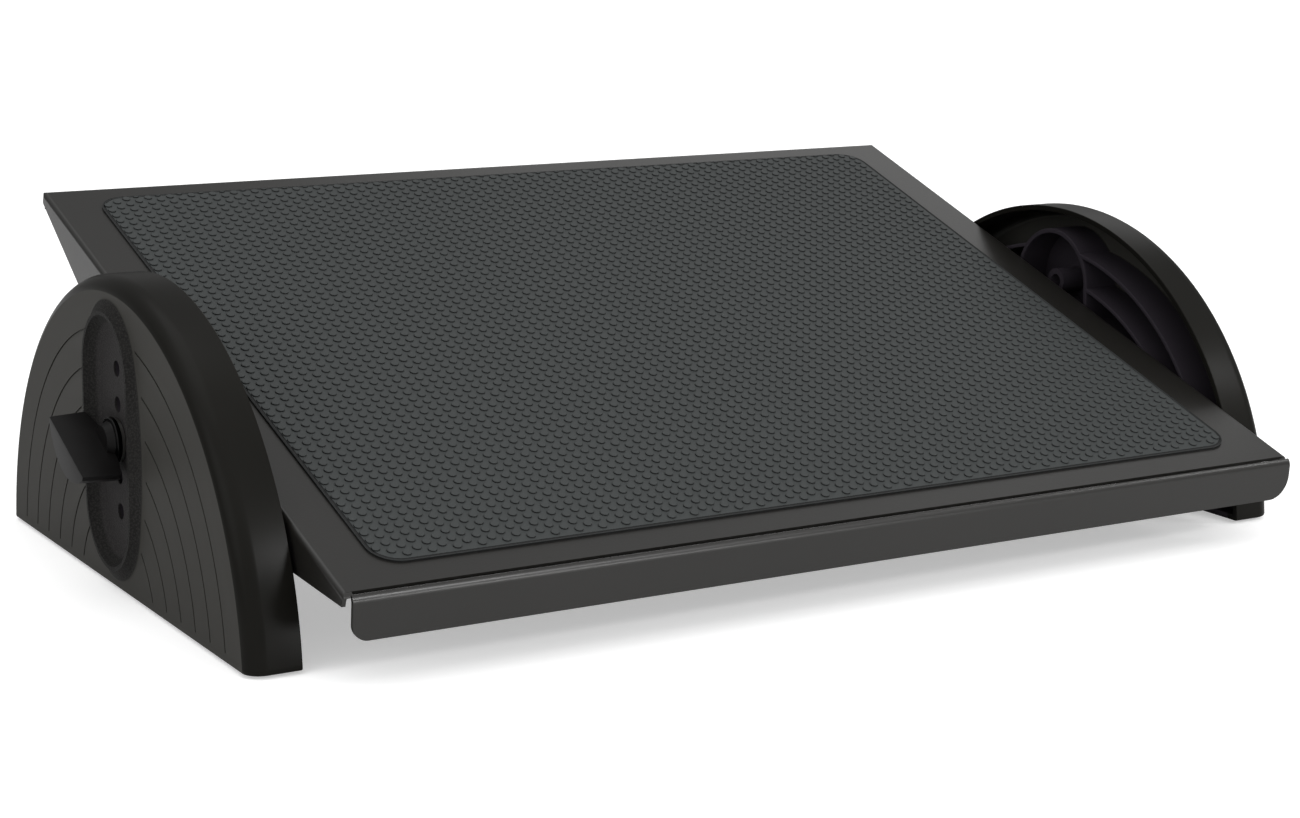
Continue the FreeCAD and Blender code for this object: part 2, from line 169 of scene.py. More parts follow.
class ShaderTree:
    """The node tree of a material or of the world, built by one method for every node."""

    def __init__(self, owner: bpy.types.ID) -> None:
        """Empties the tree of a new material or world."""
        owner.use_nodes = True
        self.owner = owner
        self.nodes = owner.node_tree.nodes
        self.links = owner.node_tree.links
        self.nodes.clear()

    @classmethod
    def of_finish(cls, name: str) -> "ShaderTree":
        """Starts an empty material."""
        return cls(bpy.data.materials.new(name))

    def node(self, kind: str, settings: dict | None = None, inputs: dict | None = None) -> bpy.types.Node:
        """Adds a node, with its settings first and then its inputs.

        Args:
            kind: The node's type.
            settings: Attributes of the node.
            inputs: A value, colour or Channel for each input, by name or place.

        Returns:
            The new node.
        """
        made = self.nodes.new(kind)
        for name, value in (settings or {}).items():
            setattr(made, name, value)
        for place, value in (inputs or {}).items():
            if isinstance(value, Channel):
                self.links.new(value.socket, made.inputs[place])
            else:
                made.inputs[place].default_value = value
        return made

    def output(self, kind: str, settings: dict | None = None, inputs: dict | None = None,
               place: object = 0) -> Channel:
        """Adds a node and returns one of its outputs as a Channel."""
        return Channel(self, self.node(kind, settings, inputs).outputs[place])

    def place(self) -> Channel:
        """The surface point in the piece's own coordinates."""
        return self.output("ShaderNodeTexCoord", place="Object")

    def parts(self) -> tuple[Channel, ...]:
        """The surface point's X, Y and Z."""
        split = self.node("ShaderNodeSeparateXYZ", inputs={0: self.place()})
        return tuple(Channel(self, socket) for socket in split.outputs)

    def noise(self, scale: float, detail: float = 2.0, roughness: float = 0.5) -> Channel:
        """Fractal noise from about 0 to 1, with the scale in repeats to the metre."""
        inputs = {"Vector": self.place(), "Scale": scale, "Detail": detail, "Roughness": roughness}
        return self.output("ShaderNodeTexNoise", {"noise_dimensions": "3D"}, inputs)

    def cells(self, scale: float) -> Channel:
        """Distance to the nearest of scattered points, with the scale in points to the metre."""
        return self.output("ShaderNodeTexVoronoi", {"feature": "F1"}, {"Vector": self.place(), "Scale": scale})

    def blend(self, share: object, first: object, second: object) -> Channel:
        """Mixes two colours; a share of 0 gives the first and 1 the second."""
        return self.output("ShaderNodeMix", {"data_type": "RGBA"}, {"Factor": share, 6: first, 7: second}, 2)

    def bump(self, height: Channel, depth: float) -> Channel:
        """Turns a height from 0 to 1 into a tilted normal; the depth is what 1 means, in metres."""
        return self.output("ShaderNodeBump", None, {"Height": height, "Distance": depth, "Strength": 1.0})

    def surface(self, colour: Channel, roughness: Channel, normal: Channel, specular: float = 0.5,
                metallic: float = 0.0) -> bpy.types.Material:
        """Closes the tree with one principled surface.

        Args:
            colour: Its base colour.
            roughness: Its roughness.
            normal: Its normal.
            specular: Its specular level.
            metallic: 1 for bare metal.

        Returns:
            The finished material.
        """
        inputs = {"Base Color": colour, "Roughness": roughness, "Normal": normal,
                  "Specular IOR Level": specular, "Metallic": metallic}
        shader = self.output("ShaderNodeBsdfPrincipled", None, inputs)
        self.node("ShaderNodeOutputMaterial", None, {"Surface": shader})
        return self.owner


# Finishes


@dataclass(frozen=True)
class PowderCoat:
    """Satin powder coat on folded sheet: fine orange peel and a faint speckle."""

    body: Colour = tone(23, 22, 20)
    worn: Colour = tone(38, 37, 35)
    gloss: float = 0.30
    specular: float = 0.42
    peel_scale: float = 900.0
    peel_depth: float = 0.00002

    def build(self) -> bpy.types.Material:
        """Makes the material."""
        tree = ShaderTree.of_finish("deck_powder_coat")
        cloud = tree.noise(9.0, 3.0)
        speck = tree.noise(2600.0, 1.0).step(0.60, 0.75)
        peel = tree.noise(self.peel_scale)
        colour = tree.blend(cloud * 0.35 + speck * 0.25, self.body, self.worn)
        roughness = cloud * 0.06 + peel * 0.05 + (self.gloss - 0.05)
        return tree.surface(colour, roughness, tree.bump(peel, self.peel_depth), self.specular)


@dataclass(frozen=True)
class MatRubber:
    """Matt rubber with a fine skin, a little paler where shoes rub the studs, with painted shade on the studs'
    flanks, the bead, the gutter and the plate's edges.
    """

    body: Colour = tone(45, 48, 48)
    rubbed: Colour = tone(58, 61, 61)
    # painted shade: near-black colour given to the studs' lower flanks, the bead, the gutter and the plate's
    # edge walls
    flank: Colour = tone(9, 10, 10)
    roughness: float = 0.58
    specular: float = 0.35
    grain_scale: float = 2200.0
    grain_depth: float = 0.00003

    def build(self, plate_top: float, stud_height: float) -> bpy.types.Material:
        """Makes the material.

        Args:
            plate_top: Height of the plate between the studs above the pivot, along the deck's normal.
            stud_height: How far the studs stand above it.

        Returns:
            The material.
        """
        tree = ShaderTree.of_finish("mat_rubber")
        _, y, z = tree.parts()
        height = (z - PIVOT.z) * math.cos(REST_TILT) - (y - PIVOT.y) * math.sin(REST_TILT)
        # painted shade: everything from just above the plate's top to below the stud tops (lower stud flanks
        # and the bead), and everything below the plate's top (gutter and edge walls), takes the near-black
        # colour
        above = height.step(plate_top + 0.02 * MM, plate_top + 0.10 * MM)
        top = height.step(plate_top + stud_height - 0.30 * MM, plate_top + stud_height - 0.12 * MM)
        below = 1.0 - height.step(plate_top - 0.15 * MM, plate_top - 0.03 * MM)
        shaded = (above * (1.0 - top)).at_least(below)
        cloud = tree.noise(7.0, 4.0, 0.6)
        grain = tree.noise(self.grain_scale)
        colour = tree.blend(cloud * 0.4 + grain * 0.2, self.body, self.rubbed)
        colour = tree.blend(shaded, colour, self.flank)
        roughness = cloud * 0.08 + grain * 0.06 + self.roughness
        return tree.surface(colour, roughness, tree.bump(grain, self.grain_depth), self.specular)


@dataclass(frozen=True)
class StandPlastic:
    """One moulding: a satin face, a polished rim whose near-black colour is painted shade, a grained collar
    whose dark tone is painted shade, its dish painted paler as painted light, and the ribbed inside.
    """

    face: Colour = tone(48, 47, 44)
    # painted shade: the rim is coloured near black for the shade and dark reflection on it; its polish is in
    # the roughness
    rim: Colour = tone(9, 8, 5)
    # painted shade: the collar's dark tone stands for the shade on its front-facing slope; its grain is its own
    collar: Colour = tone(13, 12, 12)
    # painted light: the dish is paler than the collar round it, for the light on its floor
    dish: Colour = tone(34, 32, 33)
    inside: Colour = tone(40, 36, 42)
    flecks: Colour = tone(88, 87, 84)
    specular: float = 0.08
    rim_edge: tuple[float, float] = (130.2 * MM, 130.5 * MM)
    dish_edge: tuple[float, float] = (19.0 * MM, 21.0 * MM)
    collar_edge: tuple[float, float] = (24.0 * MM, 25.5 * MM)
    collar_foot: tuple[float, float] = (-0.1 * MM, -0.4 * MM)
    face_edge: tuple[float, float] = (3.5 * MM, 3.0 * MM)
    dish_sunk: tuple[float, float] = (1.2 * MM, 0.0)
    slot_reach: float = 28.0 * MM
    grain_cells: float = 1300.0
    grain_depth: float = 0.00012

    def build(self, arch_height: float, face_x: float) -> bpy.types.Material:
        """Makes the material.

        Args:
            arch_height: Height of the centre that the arch is struck from.
            face_x: How far out the stand's outer face is.

        Returns:
            The material.
        """
        tree = ShaderTree.of_finish("stand_plastic")
        x, y, z = tree.parts()
        along = y - PIVOT.y
        above = z - arch_height
        radius = (along * along + above * above) ** 0.5
        # painted shade: this mask carries the near-black rim colour; it also lowers the roughness for the rim's
        # polish
        rim = radius.step(*self.rim_edge)
        past = (abs(z - PIVOT.z) - self.slot_reach).at_least(0.0)
        from_slot = (along * along + past * past) ** 0.5
        proud, outside, level = (abs(x).step(*(face_x - back for back in edge))
                                 for edge in (self.collar_foot, self.face_edge, self.dish_sunk))
        # painted shade: this mask carries the collar's dark tone, as well as its grain and roughness
        collar = proud.at_least((1.0 - from_slot.step(*self.collar_edge)) * outside)
        grain = 1.0 - tree.cells(self.grain_cells)
        skin = tree.noise(1500.0)
        cloud = tree.noise(12.0, 3.0)
        # painted light: the sunken dish inside the collar gets the paler dish colour
        pocket = (1.0 - from_slot.step(*self.dish_edge)) * (1.0 - level) * outside
        colour = tree.blend(outside, self.inside, self.face)
        # the rim and collar colours are painted shade and the dish colour is painted light; the flecks are
        # grain
        for share, paint in ((rim, self.rim), (collar, self.collar), (pocket, self.dish),
                             (cloud * 0.08 + grain * grain * collar * 0.22, self.flecks)):
            colour = tree.blend(share, colour, paint)
        roughness = 0.50 - rim * 0.21 + collar * 0.10 + cloud * 0.05
        height = grain * collar + skin * 0.12 * (1.0 - collar) * (1.0 - rim)
        return tree.surface(colour, roughness, tree.bump(height, self.grain_depth), self.specular)


@dataclass(frozen=True)
class KnobPlastic:
    """Satin moulding with a polished hub."""

    body: Colour = tone(7, 6, 6)
    hub: Colour = tone(1, 1, 1)
    worn: Colour = tone(60, 58, 58)
    specular: float = 0.12
    skin_depth: float = 0.00002

    def build(self, hub_top: float) -> bpy.types.Material:
        """Makes the material.

        Args:
            hub_top: How far out the hub ends.

        Returns:
            The material.
        """
        tree = ShaderTree.of_finish("knob_plastic")
        x, _, _ = tree.parts()
        wing = abs(x).step(hub_top, hub_top + 0.4 * MM)
        skin = tree.noise(1800.0)
        cloud = tree.noise(60.0)
        colour = tree.blend(wing, self.hub, self.body)
        colour = tree.blend(cloud * 0.10 * wing, colour, self.worn)
        roughness = wing * 0.30 + 0.14 + skin * 0.04
        return tree.surface(colour, roughness, tree.bump(skin * wing, self.skin_depth), self.specular)


@dataclass(frozen=True)
class PlainFinish:
    """A finish of one tone with grain, for the small pieces."""

    name: str
    body: Colour
    shade: Colour
    roughness: float
    metallic: float = 0.0
    grain_scale: float = 1200.0
    grain_depth: float = 0.00002

    def build(self) -> bpy.types.Material:
        """Makes the material."""
        tree = ShaderTree.of_finish(self.name)
        cloud = tree.noise(self.grain_scale / 12, 3.0)
        grain = tree.noise(self.grain_scale)
        colour = tree.blend(cloud * 0.6 + grain * 0.3, self.body, self.shade)
        roughness = cloud * 0.12 + grain * 0.08 + (self.roughness - 0.1)
        return tree.surface(colour, roughness, tree.bump(grain, self.grain_depth), metallic=self.metallic)


# Modelling


class Bench:
    """One mesh on the bench, shaped with Blender's own operators."""

    def __init__(self, obj: bpy.types.Object, name: str) -> None:
        """Takes a new primitive.

        Args:
            obj: The primitive.
            name: The name that it gets.
        """
        self.obj = obj
        self.obj.name = name
        self.obj.data.name = name
        self.settle()

    @staticmethod
    def clear() -> None:
        """Leaves edit mode and deselects everything."""
        if bpy.context.object and bpy.context.object.mode != "OBJECT":
            bpy.ops.object.mode_set(mode="OBJECT")
        bpy.ops.object.select_all(action="DESELECT")

    @classmethod
    def block(cls, name: str, low: Vector, high: Vector) -> "Bench":
        """Starts from a cube between two corners."""
        cls.clear()
        bpy.ops.mesh.primitive_cube_add(size=1.0, location=(low + high) / 2)
        bpy.context.active_object.scale = high - low
        return cls(bpy.context.active_object, name)

    @classmethod
    def rod(cls, name: str, radius: float, x_start: float, x_end: float, centre: tuple[float, float],
            sides: int = 48) -> "Bench":
        """Starts from a cylinder along X.

        Args:
            name: The piece's name.
            radius: Its radius.
            x_start: Where it starts.
            x_end: Where it ends.
            centre: Y and Z of its axis.
            sides: How many sides it has.

        Returns:
            The new piece.
        """
        cls.clear()
        bpy.ops.mesh.primitive_cylinder_add(vertices=sides, radius=radius, depth=x_end - x_start,
                                            location=((x_start + x_end) / 2, *centre), rotation=ALONG_X)
        return cls(bpy.context.active_object, name)

    @classmethod
    def skin(cls, name: str, rings: list[list[Vector]]) -> "Bench":
        """Bridges closed rings of equal count, in order, and closes both ends.

        Args:
            name: The piece's name.
            rings: The rings' points.

        Returns:
            The new piece.
        """
        cls.clear()
        loops = []
        for ring in rings:
            bpy.ops.mesh.primitive_circle_add(vertices=len(ring), radius=1.0)
            loop = bpy.context.active_object
            for corner, place in zip(loop.data.vertices, ring):
                corner.co = place
            loops.append(loop)
        for loop in loops:
            loop.select_set(True)
        bpy.context.view_layer.objects.active = loops[0]
        bpy.ops.object.join()
        piece = cls(loops[0], name)
        piece.edit()
        bpy.ops.mesh.select_mode(type="EDGE")
        bpy.ops.mesh.select_all(action="SELECT")
        bpy.ops.mesh.bridge_edge_loops()
        bpy.ops.mesh.select_all(action="SELECT")
        bpy.ops.mesh.fill_holes(sides=0)
        bpy.ops.mesh.select_all(action="SELECT")
        bpy.ops.mesh.normals_make_consistent(inside=False)
        piece.leave()
        return piece

    def settle(self) -> None:
        """Puts the object's place, turn and scale into its mesh."""
        self.hold()
        bpy.ops.object.transform_apply(location=True, rotation=True, scale=True)

    def hold(self) -> None:
        """Selects this piece alone."""
        self.clear()
        self.obj.select_set(True)
        bpy.context.view_layer.objects.active = self.obj

    def edit(self) -> None:
        """Goes into edit mode."""
        self.hold()
        bpy.ops.object.mode_set(mode="EDIT")

    def leave(self) -> None:
        """Goes back to object mode."""
        bpy.ops.object.mode_set(mode="OBJECT")

    def pick(self, kind: Pick, test: Callable[[Vector, Vector], bool], crease: float = 0.0) -> int:
        """Selects elements in edit mode by their place and direction.

        Args:
            kind: Edges or faces.
            test: Takes an element's middle and its normal, or an edge's direction.
            crease: For edges, the least angle between the two faces, in degrees.

        Returns:
            How many were selected.
        """
        self.edit()
        bpy.ops.mesh.select_mode(type=kind.value)
        bpy.ops.mesh.select_all(action="DESELECT")
        mesh = bmesh.from_edit_mesh(self.obj.data)
        if kind is Pick.FACE:
            found = [(face, face.calc_center_median(), face.normal) for face in mesh.faces]
        else:
            found = [(edge, (edge.verts[0].co + edge.verts[1].co) / 2,
                      (edge.verts[1].co - edge.verts[0].co).normalized())
                     for edge in mesh.edges
                     if crease == 0.0 or math.degrees(edge.calc_face_angle(0.0)) >= crease]
        chosen = [element for element, middle, way in found if test(middle, way)]
        for element in chosen:
            element.select_set(True)
        bmesh.update_edit_mesh(self.obj.data)
        return len(chosen)

    def bevel(self, width: float, steps: int, test: Callable[[Vector, Vector], bool],
              crease: float = 30.0) -> None:
        """Rounds the edges that pass the test.

        Args:
            width: How wide the rounding is on each side.
            steps: How many facets it has.
            test: Takes an edge's middle and direction.
            crease: The least angle between the two faces, in degrees.
        """
        if self.pick(Pick.EDGE, test, crease):
            bpy.ops.mesh.bevel(offset=width, segments=steps, clamp_overlap=True)
        self.leave()

    def bisect(self, place: Point, way: Point, keep_ahead: bool) -> None:
        """Cuts the piece by a plane, drops one side and closes the cut.

        Args:
            place: A point of the plane.
            way: The plane's normal.
            keep_ahead: True keeps the side that the normal points to.
        """
        self.edit()
        bpy.ops.mesh.select_all(action="SELECT")
        bpy.ops.mesh.bisect(plane_co=place, plane_no=way, use_fill=True, clear_inner=keep_ahead,
                            clear_outer=not keep_ahead)
        self.leave()

    def combine(self, other: "Bench", how: Joinery) -> None:
        """Adds, cuts or intersects with another piece, which is used up.

        Args:
            other: The other piece.
            how: What is done with it.
        """
        self.hold()
        joint = self.obj.modifiers.new("joinery", "BOOLEAN")
        joint.solver = "EXACT"
        joint.operation = how.value
        joint.object = other.obj
        bpy.ops.object.modifier_apply(modifier=joint.name)
        bpy.data.meshes.remove(other.obj.data)

    @staticmethod
    def joined(pieces: list["Bench"]) -> "Bench":
        """Joins meshes into the first one, uncut."""
        pieces[0].hold()
        for piece in pieces[1:]:
            piece.obj.select_set(True)
        bpy.ops.object.join()
        return pieces[0]

    def repeat(self, count: int, step: Point) -> None:
        """Repeats the mesh along a line with an array.

        Args:
            count: How many there are in all.
            step: From one to the next.
        """
        self.hold()
        row = self.obj.modifiers.new("row", "ARRAY")
        row.count = count
        row.use_relative_offset = False
        row.use_constant_offset = True
        row.constant_offset_displace = step
        bpy.ops.object.modifier_apply(modifier=row.name)

    def tilt(self, angle: float) -> None:
        """Turns the mesh about the pivot's axis."""
        self.obj.data.transform(Matrix.Translation(PIVOT) @ Matrix.Rotation(angle, 4, "X")
                                @ Matrix.Translation(-PIVOT))

    def move(self, step: Vector) -> None:
        """Moves the mesh."""
        self.obj.data.transform(Matrix.Translation(step))

    def both_sides(self, kind: str, angle: float) -> tuple[tuple[Side, "Bench"], ...]:
        """Mirrors this right piece in the middle plane, with a mesh of its own for the left.

        Args:
            kind: The pieces' name without the side.
            angle: Edges flatter than this shade smoothly.

        Returns:
            Each side with its piece.
        """
        self.hold()
        bpy.ops.object.duplicate()
        copy = bpy.context.active_object
        copy.scale.x = -1.0
        left = Bench(copy, f"left_{kind}")
        left.outward()
        left.shade(angle)
        self.obj.name = f"right_{kind}"
        return (Side.RIGHT, self), (Side.LEFT, left)

    def outward(self) -> None:
        """Merges doubles and points every face outwards."""
        self.edit()
        bpy.ops.mesh.select_all(action="SELECT")
        bpy.ops.mesh.remove_doubles(threshold=1e-7)
        bpy.ops.mesh.normals_make_consistent(inside=False)
        self.leave()

    def shade(self, angle: float) -> None:
        """Shades smoothly across edges flatter than the angle."""
        self.hold()
        bpy.ops.object.shade_smooth_by_angle(angle=angle)

    def dress(self, material: bpy.types.Material, slot: str, body: str, *nodes: str) -> None:
        """Gives the piece its material, its body and the nodes that it stands for.

        Args:
            material: The finish.
            slot: The record's material slot; not used.
            body: The body that it rides on.
            nodes: The frame's nodes that it replaces.
        """
        self.obj.data.materials.clear()
        self.obj.data.materials.append(material)
        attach(self.obj, body)
        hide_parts(*nodes)
        log.info("%s: %d faces on %s", self.obj.name, len(self.obj.data.polygons), body)


def oval(x: float, half_width: float, half_height: float, end_radius: float) -> list[Vector]:
    """A four-arc oval round the pivot in the plane at x, taller than wide.

    Args:
        x: The plane's place.
        half_width: Half its width along Y.
        half_height: Half its height.
        end_radius: Radius of its two end arcs.

    Returns:
        Its points, in order, 96 in all.
    """
    side_steps, end_steps = 8, 16
    side_radius = ((half_width ** 2 + half_height ** 2 - 2 * half_height * end_radius)
                   / (2 * (half_width - end_radius)))
    inward = side_radius - half_width
    lean = math.atan2(half_height - end_radius, inward)
    quarter = []
    for step in range(side_steps):
        angle = lean * step / side_steps
        quarter.append((side_radius * math.cos(angle) - inward, side_radius * math.sin(angle)))
    for step in range(end_steps):
        angle = part_way(lean, math.pi / 2, step / end_steps)
        quarter.append((end_radius * math.cos(angle), half_height - end_radius + end_radius * math.sin(angle)))
    upper = quarter + [(0.0, half_height)] + [(-y, z) for y, z in reversed(quarter[1:])]
    return [Vector((x, PIVOT.y + y * half, PIVOT.z + z * half)) for half in (1, -1) for y, z in upper]


def slot_oval(x: float, half_width: float, half_height: float) -> list[Vector]:
    """An oval whose ends are almost half circles."""
    return oval(x, half_width, half_height, SLOT_END * half_width)


# Sub-assemblies


@dataclass
class Stand:
    """A hollow half-round stand: rim, face, ribs, tube, collar, pocket, holes and grooves."""

    inner: float = 226.9 * MM
    face: float = 248.1 * MM
    base: float = 1.2 * MM
    arch_drop: float = 10.5 * MM
    arch: float = 136.3 * MM
    rim_round: float = 8.0 * MM
    round_centre: float = 240.354 * MM
    rim_wall: float = 2.6 * MM
    face_wall: float = 2.5 * MM
    base_wall: float = 2.8 * MM
    groove_count: int = 6
    groove_pitch: float = 14.5 * MM
    first_groove: float = 115.0 * MM
    groove_width: float = 0.9 * MM
    groove_depth: float = 0.5 * MM
    groove_floor_gap: float = 4.0 * MM
    groove_collar_gap: float = 1.6 * MM
    rib: float = 1.8 * MM
    rib_offset: float = 1.9 * MM
    collar_half: tuple[float, float] = (35.0 * MM, 58.0 * MM)
    collar_end: float = 30.0 * MM
    collar_rise: float = 3.2 * MM
    crest_half: tuple[float, float] = (25.8 * MM, 52.3 * MM)
    crest_width: float = 1.6 * MM
    floor_half: tuple[float, float] = (16.5 * MM, 43.5 * MM)
    pocket_depth: float = 2.4 * MM
    floor_wall: float = 2.5 * MM
    tube_half: tuple[float, float] = (26.5 * MM, 54.6 * MM)
    tube_wall: float = 2.2 * MM
    hole_count: int = 5
    hole_pitch: float = 14.5 * MM
    hole_radius: float = 3.3 * MM
    boss_radius: float = 6.0 * MM
    boss_set_back: float = 2.8 * MM
    edge_round: float = 0.35 * MM
    pad_size: tuple[float, float] = (32.0 * MM, 13.0 * MM)
    pad_recess: float = 0.8 * MM
    pad_play: float = 0.1 * MM
    pad_spread: float = 95.995 * MM
    base_round: float = 1.2 * MM
    arch_sides: int = 200
    hole_sides: int = 40
    oval_steps: int = 9

    @property
    def arch_height(self) -> float:
        """Height of the centre that the arch is struck from."""
        return self.base - self.arch_drop

    @property
    def tube_middle(self) -> tuple[float, float]:
        """Half sizes of the oval in the middle of the tube's wall."""
        return self.tube_half[0] - self.tube_wall / 2, self.tube_half[1] - self.tube_wall / 2

    def domed(self, name: str, radius: float, start: float, face: float, rounding: float,
              floor: float) -> Bench:
        """A half-round solid with a rounded outer rim, cut flat at its face and base.

        Args:
            name: The piece's name.
            radius: The arch's radius.
            start: Where it starts along X.
            face: Where its face is.
            rounding: Radius of its rim.
            floor: Height of its base.

        Returns:
            The solid.
        """
        end = self.round_centre + rounding
        solid = Bench.rod(name, radius, start, end, (PIVOT.y, self.arch_height), self.arch_sides)
        solid.bevel(rounding, 9, lambda middle, way: middle.x > end - NEAR)
        solid.bisect((face, 0.0, 0.0), (1.0, 0.0, 0.0), keep_ahead=False)
        solid.bisect((0.0, 0.0, floor), (0.0, 0.0, 1.0), keep_ahead=True)
        return solid

    def shell(self) -> Bench:
        """Face, rim and base wall, open on the inner side."""
        body = self.domed("stand", self.arch, self.inner, self.face, self.rim_round, self.base)
        core = self.domed("core", self.arch - self.rim_wall, self.inner - PAST, self.face - self.face_wall,
                          self.rim_round - self.rim_wall, self.base + self.base_wall)
        body.bevel(self.base_round, 4, lambda middle, way: middle.z < self.base + NEAR
                   and middle.x > self.inner + PAST)
        body.combine(core, Joinery.CUT)
        self.soften_open_edge(body)
        return body

    def soften_open_edge(self, piece: Bench) -> None:
        """Rounds the edges that lie in the stand's open side."""
        piece.bevel(self.edge_round, 2, lambda middle, way: abs(middle.x - self.inner) < 0.02 * MM)

    def half_rings(self, name: str, offset: float, wall: float, start: float, end: float,
                   floor: float) -> list[Bench]:
        """A thin half ring about the arch's centre for each groove.

        Args:
            name: The rings' name.
            offset: How far they are outside the grooves.
            wall: How thick they are.
            start: Where they start along X.
            end: Where they end.
            floor: The height that they are cut at.

        Returns:
            The rings, the outermost first.
        """
        centre = (PIVOT.y, self.arch_height)
        rings = []
        for index in range(self.groove_count):
            radius = self.first_groove - index * self.groove_pitch + offset + wall / 2
            ring = Bench.rod(name, radius, start, end, centre, self.arch_sides)
            ring.combine(Bench.rod("bore", radius - wall, start - PAST, end + PAST, centre, self.arch_sides),
                         Joinery.CUT)
            ring.bisect((0.0, 0.0, floor), (0.0, 0.0, 1.0), keep_ahead=True)
            rings.append(ring)
        return rings

    def ribs(self) -> Bench:
        """Concentric ribs behind the grooves, stopped by the tube."""
        rings = self.half_rings("rib", self.rib_offset, self.rib, self.inner, self.face - self.face_wall / 2,
                                self.base + self.base_wall / 2)
        for ring in rings:
            self.soften_open_edge(ring)
        ribs = Bench.joined(rings)
        ribs.combine(self.prism("tube_room", *self.tube_middle, self.inner - PAST, self.face), Joinery.CUT)
        return ribs

    def prism(self, name: str, half_width: float, half_height: float, start: float, end: float) -> Bench:
        """A slot-shaped bar along X, round the pivot."""
        return Bench.skin(name, [slot_oval(x, half_width, half_height) for x in (start, end)])

    def tube(self) -> Bench:
        """The tubular wall round the holes."""
        tube = self.prism("tube", *self.tube_half, self.inner, self.face - self.face_wall / 2)
        bore = (size - self.tube_wall for size in self.tube_half)
        tube.combine(self.prism("tube_bore", *bore, self.inner - PAST, self.face), Joinery.CUT)
        self.soften_open_edge(tube)
        return tube

    def collar(self) -> Bench:
        """The raised collar, with a soft foot and a narrow rounded crest."""
        rings = [oval(self.face - PAST, *self.collar_half, self.collar_end)]
        for step in range(self.oval_steps + 1):
            share = step / self.oval_steps
            rise = share * share * (1.6 - 0.6 * share)
            half = [part_way(foot, crest, share) for foot, crest in zip(self.collar_half, self.crest_half)]
            end = part_way(self.collar_end, SLOT_END * self.crest_half[0], share)
            rings.append(oval(self.face + self.collar_rise * rise, *half, end))
        return Bench.skin("collar", rings)

    def pocket(self) -> Bench:
        """The dish inside the collar, as the solid that it is cut with."""
        mouth = [size - self.crest_width for size in self.crest_half]
        depth = self.collar_rise + self.pocket_depth
        rings = []
        for step in range(self.oval_steps + 1):
            share = step / self.oval_steps
            rise = 1 - math.cos(share * math.pi / 2) ** 0.8
            half = [part_way(low, high, share) for low, high in zip(self.floor_half, mouth)]
            rings.append(slot_oval(self.face - self.pocket_depth + depth * rise, *half))
        rings.append(slot_oval(self.face + self.collar_rise + 2 * PAST, *(size + PAST for size in mouth)))
        return Bench.skin("pocket", rings)

    def row_of_rods(self, name: str, radius: float, start: float, end: float) -> Bench:
        """One rod at each index hole, as one mesh; the middle hole is on the pivot."""
        heights = (PIVOT.z + (index - (self.hole_count - 1) / 2) * self.hole_pitch
                   for index in range(self.hole_count))
        return Bench.joined([Bench.rod(name, radius, start, end, (PIVOT.y, height), self.hole_sides)
                             for height in heights])

    def grooves(self) -> Bench:
        """The cutter for the engraved arches."""
        grooves = Bench.joined(self.half_rings("groove", 0.0, self.groove_width, self.face - self.groove_depth,
                                               self.face + PAST, self.base + self.groove_floor_gap))
        half = [size + self.groove_collar_gap for size in self.collar_half]
        grooves.combine(Bench.skin("collar_room", [oval(self.face + reach, *half, self.collar_end)
                                                   for reach in (-2 * PAST, 2 * PAST)]), Joinery.CUT)
        return grooves

    def pad_recesses(self) -> Bench:
        """The cutters for the seats of the foot pads."""
        length, width = self.pad_size
        middle = (self.inner + self.face) / 2
        seats = []
        for sign in (-1, 1):
            centre = Vector((middle, PIVOT.y + sign * self.pad_spread, self.base))
            reach = Vector((width / 2 + self.pad_play, length / 2 + self.pad_play, 0.0))
            seats.append(Bench.block("pad_seat", centre - reach - Vector((0.0, 0.0, PAST)),
                                     centre + reach + Vector((0.0, 0.0, self.pad_recess))))
        return Bench.joined(seats)

    def build(self) -> Bench:
        """The right stand in one mesh."""
        floor_back = self.face - self.pocket_depth - self.floor_wall
        stand = self.shell()
        for piece in (self.tube(), self.ribs(), self.collar(),
                      self.prism("pocket_floor", *self.tube_middle, floor_back, self.face - 0.3 * MM),
                      self.row_of_rods("boss", self.boss_radius, self.inner + self.boss_set_back,
                                       floor_back + 0.5 * MM)):
            stand.combine(piece, Joinery.ADD)
        for cutter in (self.pocket(), self.grooves(), self.pad_recesses(),
                       self.row_of_rods("hole", self.hole_radius, self.inner - PAST, self.face + 10 * PAST)):
            stand.combine(cutter, Joinery.CUT)
        stand.outward()
        stand.shade(SMOOTH_ANGLE)
        return stand

    def dress(self) -> None:
        """Builds both stands and puts them on the frame."""
        material = StandPlastic().build(self.arch_height, self.face)
        for side, piece in self.build().both_sides("stand_moulding", SMOOTH_ANGLE):
            piece.dress(material, "stand_plastic", "stands", f"{side.word}_stand")


